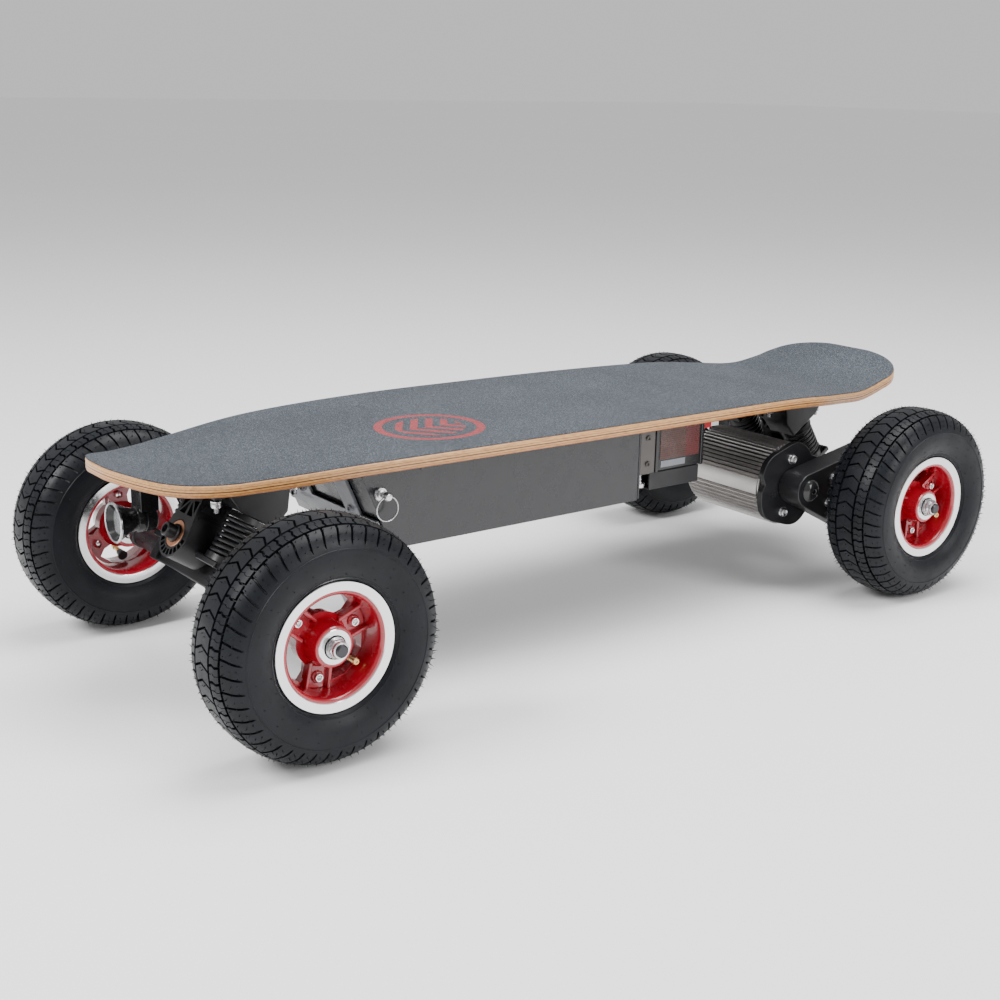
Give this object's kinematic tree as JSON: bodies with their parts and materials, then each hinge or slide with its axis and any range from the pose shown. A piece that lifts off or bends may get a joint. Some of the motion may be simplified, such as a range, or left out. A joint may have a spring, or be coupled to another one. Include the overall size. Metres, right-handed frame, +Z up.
{
  "type": "electric off-road skateboard",
  "caption": "Powered all-terrain skateboard: kick-tail deck on sprung steering trucks, pneumatic tyres, belt drive to a rear wheel, battery case and speed controller slung under the deck.",
  "frame": {"origin": "centre of the board's overall box, on the ground under the tyres", "axes": "+Z up, the nose points to -Y and the kick tail to +Y, the rider's left (belt drive side) is +X when facing the nose"},
  "size_m": [0.516, 1.062, 0.258],
  "materials": {
    "maple_ply": "clear lacquer",
    "grip_tape": "gritty sheet",
    "black_steel": "satin black",
    "spring_steel": "gloss black",
    "battery_wrap": "shrink film",
    "grey_steel": "satin grey",
    "zinc_steel": "bright zinc",
    "axle_steel": "blackened",
    "bush_copper": "plain",
    "motor_aluminium": "extruded, bare",
    "black_plastic": "moulded",
    "gloss_black": "gloss",
    "lamp_glass": "clear",
    "switch_red": "gloss",
    "cable_rubber": "plain",
    "tyre_rubber": "moulded tread",
    "rim_red": "gloss red"
  },
  "bodies": {
    "board": {"deck": "maple_ply", "grip_tape": "grip_tape", "battery_case": "black_steel", "battery_pack": "battery_wrap", "case_front_bracket": "grey_steel", "charge_port": "black_plastic", "controller_housing": "black_plastic", "controller_unit": "grey_steel", "rail_left": "black_steel", "rail_right": "black_steel", "hanger_rod_left": "zinc_steel", "hanger_rod_right": "zinc_steel", "lamp_housing": "gloss_black", "lamp_lens": "lamp_glass", "motor_cable": "cable_rubber", "truck_base_front": "black_plastic", "truck_base_rear": "black_plastic", "deck_bolt_front_1": "zinc_steel", "deck_bolt_front_2": "zinc_steel", "deck_bolt_front_3": "zinc_steel", "deck_bolt_front_4": "zinc_steel", "deck_bolt_rear_1": "zinc_steel", "deck_bolt_rear_2": "zinc_steel", "deck_bolt_rear_3": "zinc_steel", "deck_bolt_rear_4": "zinc_steel", "kingpin_front": "zinc_steel", "kingpin_rear": "zinc_steel", "pivot_bush_front": "bush_copper", "pivot_bush_rear": "bush_copper", "spring_front_left": "spring_steel", "spring_front_right": "spring_steel", "spring_rear_left": "spring_steel", "spring_rear_right": "spring_steel"},
    "front_truck": {"hanger_front": "black_steel", "axle_front": "axle_steel"},
    "rear_truck": {"hanger_rear": "black_steel", "axle_rear": "axle_steel", "motor_housing": "motor_aluminium", "motor_mount_plate": "black_steel", "belt_cover": "black_plastic", "drive_belt": "cable_rubber"},
    "wheel_front_left": {"tyre_front_left": "tyre_rubber", "rim_front_left": "rim_red", "bearing_front_left": "zinc_steel"},
    "wheel_front_right": {"tyre_front_right": "tyre_rubber", "rim_front_right": "rim_red", "bearing_front_right": "zinc_steel"},
    "wheel_rear_left": {"tyre_rear_left": "tyre_rubber", "rim_rear_left": "rim_red", "bearing_rear_left": "zinc_steel", "wheel_pulley": "motor_aluminium"},
    "wheel_rear_right": {"tyre_rear_right": "tyre_rubber", "rim_rear_right": "rim_red", "bearing_rear_right": "zinc_steel"},
    "motor_shaft": {"motor_rotor": "zinc_steel"},
    "latch_pin": {"release_pin": "zinc_steel"},
    "latch_ring": {"pull_ring": "zinc_steel"},
    "rocker": {"power_switch": "switch_red"}
  },
  "joints": [
    {"name": "front_lean", "type": "hinge", "parent": "board", "child": "front_truck", "pos_m": [0, -0.45, 0.162], "axis": [0, -0.8387, 0.5446], "range_deg": [-11, 11], "stiffness_Nm_per_rad": 260, "deforming": ["spring_front_left", "spring_front_right"]},
    {"name": "rear_lean", "type": "hinge", "parent": "board", "child": "rear_truck", "pos_m": [0, 0.433, 0.162], "axis": [0, 0.8387, 0.5446], "range_deg": [-11, 11], "stiffness_Nm_per_rad": 260, "deforming": ["spring_rear_left", "spring_rear_right", "motor_cable"]},
    {"name": "front_left_spin", "type": "hinge", "parent": "front_truck", "child": "wheel_front_left", "pos_m": [0.2146, -0.417, 0.114], "axis": [1, 0, 0], "continuous": true},
    {"name": "front_right_spin", "type": "hinge", "parent": "front_truck", "child": "wheel_front_right", "pos_m": [-0.2146, -0.417, 0.114], "axis": [1, 0, 0], "continuous": true},
    {"name": "rear_left_spin", "type": "hinge", "parent": "rear_truck", "child": "wheel_rear_left", "pos_m": [0.2146, 0.4, 0.114], "axis": [1, 0, 0], "continuous": true},
    {"name": "rear_right_spin", "type": "hinge", "parent": "rear_truck", "child": "wheel_rear_right", "pos_m": [-0.2146, 0.4, 0.114], "axis": [1, 0, 0], "continuous": true},
    {"name": "motor_spin", "type": "hinge", "parent": "rear_truck", "child": "motor_shaft", "pos_m": [0.06, 0.288, 0.131], "axis": [1, 0, 0], "continuous": true},
    {"name": "latch_pull", "type": "slide", "parent": "board", "child": "latch_pin", "axis": [1, 0, 0], "range_m": [0, 0.01], "stiffness_N_per_m": 600, "springref_m": -0.005},
    {"name": "ring_swing", "type": "hinge", "parent": "latch_pin", "child": "latch_ring", "pos_m": [0.108, -0.274, 0.197], "axis": [0, -1, 0], "range_deg": [-20, 85]},
    {"name": "switch_rock", "type": "hinge", "parent": "board", "child": "rocker", "pos_m": [-0.094, 0.045, 0.198], "axis": [0, 0, 1], "range_deg": [-7, 7]}
  ],
  "couplings": [
    {"joint": "motor_spin", "follows": "rear_left_spin", "ratio": 4}
  ]
}
